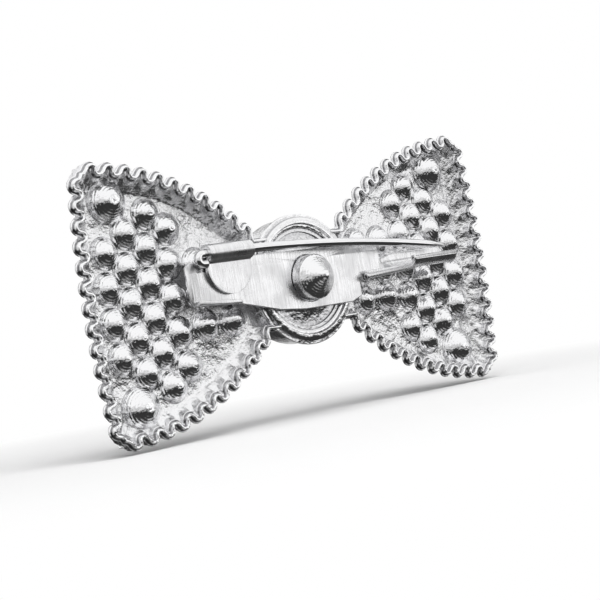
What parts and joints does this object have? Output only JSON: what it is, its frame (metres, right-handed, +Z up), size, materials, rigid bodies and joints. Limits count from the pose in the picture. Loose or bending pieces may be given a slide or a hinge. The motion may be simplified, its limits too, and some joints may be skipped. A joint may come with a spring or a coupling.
{
  "type": "bow brooch",
  "caption": "Bow-shaped brooch: stone-set cast bow with a scalloped border and a domed centre stone, and on its back a stamped bar with folded hinge, sprung pin and open hook catch.",
  "frame": {"origin": "middle of the bow, in the plane of its back rim", "axes": "+Y out of the back (the pin side), so the stones face -Y; +Z up as worn; +X towards the pin's hinge end"},
  "size_m": [0.0522, 0.0086, 0.0266],
  "materials": {
    "cast_metal": "polished plate over a slightly rough casting",
    "plate_metal": "plated sheet with fine lengthwise scratches",
    "wire_metal": "polished drawn wire",
    "crystal": "faceted, foil backed",
    "centre_crystal": "faceted, foil backed"
  },
  "bodies": {
    "brooch": {"bow_casting": "cast_metal", "centre_stone": "centre_crystal", "left_stones_1": "crystal", "left_stones_2": "crystal", "left_stones_3": "crystal", "left_stones_4": "crystal", "left_stones_5": "crystal", "left_stones_6": "crystal", "left_corner_stones": "crystal", "right_stones_1": "crystal", "right_stones_2": "crystal", "right_stones_3": "crystal", "right_stones_4": "crystal", "right_stones_5": "crystal", "right_stones_6": "crystal", "right_corner_stones": "crystal", "bar_plate": "plate_metal", "pin_anchor": "wire_metal"},
    "pin": {"pin_stem": "wire_metal"}
  },
  "joints": [
    {"name": "pin_flex", "type": "hinge", "parent": "brooch", "child": "pin", "pos_m": [0.0067, 0.00085, 0.0035], "axis": [0, 0.866, -0.5], "range_deg": [0, 20], "stiffness_Nm_per_rad": 0.03}
  ]
}
